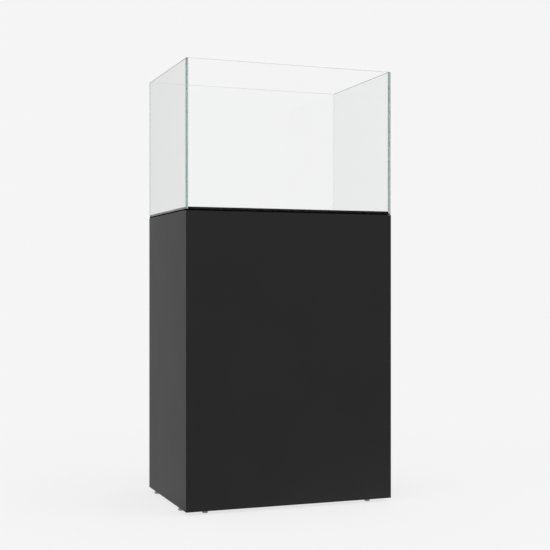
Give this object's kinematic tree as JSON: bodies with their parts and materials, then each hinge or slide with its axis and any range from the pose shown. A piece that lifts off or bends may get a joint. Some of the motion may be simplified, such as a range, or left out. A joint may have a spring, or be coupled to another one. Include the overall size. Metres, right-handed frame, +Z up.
{
  "type": "aquarium on stand",
  "caption": "Rimless clear glass aquarium on a foam mat, on a tall matt black cabinet with a full-width hinged door, push latch and levelling feet.",
  "frame": {"origin": "middle of the footprint, on the floor under the feet", "axes": "+Z up, the door faces -Y, +X is to the right of someone who faces the door"},
  "size_m": [0.6, 0.402, 1.2125],
  "materials": {
    "cabinet_board": "matt black lacquered board",
    "door_board": "matt black lacquered board",
    "nickel_steel": "nickel-plated pressed steel",
    "zinc_steel": "zinc-plated steel",
    "zinc_casting": "die-cast zinc",
    "brass": "plain brass",
    "beech": "plain beech",
    "clear_rubber": "soft clear polyurethane",
    "foam_mat": "black closed-cell foam",
    "grey_plastic": "moulded",
    "pale_plastic": "moulded",
    "magnet_steel": "nickel-plated magnet",
    "foot_grey": "grey moulded",
    "silicone": "clear silicone",
    "base_silicone": "black silicone",
    "clear_glass": "low-iron float glass, polished edges"
  },
  "bodies": {
    "cabinet": {"side_panel_left": "cabinet_board", "side_panel_right": "cabinet_board", "top_panel": "cabinet_board", "bottom_panel": "cabinet_board", "back_panel": "cabinet_board", "door_bumpers": "clear_rubber", "cam_locks": "zinc_casting", "cam_bolts": "zinc_steel", "dowels": "beech", "hinge_arm_bottom": "nickel_steel", "hinge_arm_middle": "nickel_steel", "hinge_arm_top": "nickel_steel", "hinge_plate_bottom": "nickel_steel", "hinge_plate_middle": "nickel_steel", "hinge_plate_top": "nickel_steel", "hinge_plate_screws": "zinc_steel", "hinge_arm_screws": "zinc_steel", "latch_housing": "grey_plastic", "latch_screws": "zinc_steel", "foot_inserts": "brass", "tank_mat": "foam_mat"},
    "door": {"door": "door_board", "hinge_cup_bottom": "nickel_steel", "hinge_cup_middle": "nickel_steel", "hinge_cup_top": "nickel_steel", "hinge_pin_bottom": "zinc_steel", "hinge_pin_middle": "zinc_steel", "hinge_pin_top": "zinc_steel", "hinge_cup_screws": "zinc_steel", "strike_plate": "zinc_steel", "strike_screw": "zinc_steel"},
    "latch_plunger": {"latch_plunger": "pale_plastic", "latch_magnet": "magnet_steel"},
    "tank": {"front_pane": "clear_glass", "rear_pane": "clear_glass", "left_pane": "clear_glass", "right_pane": "clear_glass", "bottom_pane": "clear_glass", "seam_front_left": "silicone", "seam_front_right": "silicone", "seam_rear_left": "silicone", "seam_rear_right": "silicone", "seam_bottom": "base_silicone"},
    "foot_front_left": {"foot_front_left": "foot_grey"},
    "foot_front_right": {"foot_front_right": "foot_grey"},
    "foot_rear_left": {"foot_rear_left": "foot_grey"},
    "foot_rear_right": {"foot_rear_right": "foot_grey"},
    "foot_left_front": {"foot_left_front": "foot_grey"},
    "foot_left_rear": {"foot_left_rear": "foot_grey"},
    "foot_right_front": {"foot_right_front": "foot_grey"},
    "foot_right_rear": {"foot_right_rear": "foot_grey"}
  },
  "joints": [
    {"name": "door_swing", "type": "hinge", "parent": "cabinet", "child": "door", "pos_m": [-0.2928, -0.1915, 0.4095], "axis": [0, 0, -1], "range_deg": [0, 95]},
    {"name": "latch_press", "type": "slide", "parent": "cabinet", "child": "latch_plunger", "axis": [0, 1, 0], "range_m": [0, 0.003], "stiffness_N_per_m": 400, "springref_m": -0.004},
    {"name": "tank_lift", "type": "slide", "parent": "cabinet", "child": "tank", "axis": [0, 0, 1], "range_m": [0, 0.25]},
    {"name": "foot_front_left_adjust", "type": "slide", "parent": "cabinet", "child": "foot_front_left", "axis": [0, 0, -1], "range_m": [0, 0.01]},
    {"name": "foot_front_right_adjust", "type": "slide", "parent": "cabinet", "child": "foot_front_right", "axis": [0, 0, -1], "range_m": [0, 0.01]},
    {"name": "foot_rear_left_adjust", "type": "slide", "parent": "cabinet", "child": "foot_rear_left", "axis": [0, 0, -1], "range_m": [0, 0.01]},
    {"name": "foot_rear_right_adjust", "type": "slide", "parent": "cabinet", "child": "foot_rear_right", "axis": [0, 0, -1], "range_m": [0, 0.01]},
    {"name": "foot_left_front_adjust", "type": "slide", "parent": "cabinet", "child": "foot_left_front", "axis": [0, 0, -1], "range_m": [0, 0.01]},
    {"name": "foot_left_rear_adjust", "type": "slide", "parent": "cabinet", "child": "foot_left_rear", "axis": [0, 0, -1], "range_m": [0, 0.01]},
    {"name": "foot_right_front_adjust", "type": "slide", "parent": "cabinet", "child": "foot_right_front", "axis": [0, 0, -1], "range_m": [0, 0.01]},
    {"name": "foot_right_rear_adjust", "type": "slide", "parent": "cabinet", "child": "foot_right_rear", "axis": [0, 0, -1], "range_m": [0, 0.01]}
  ]
}
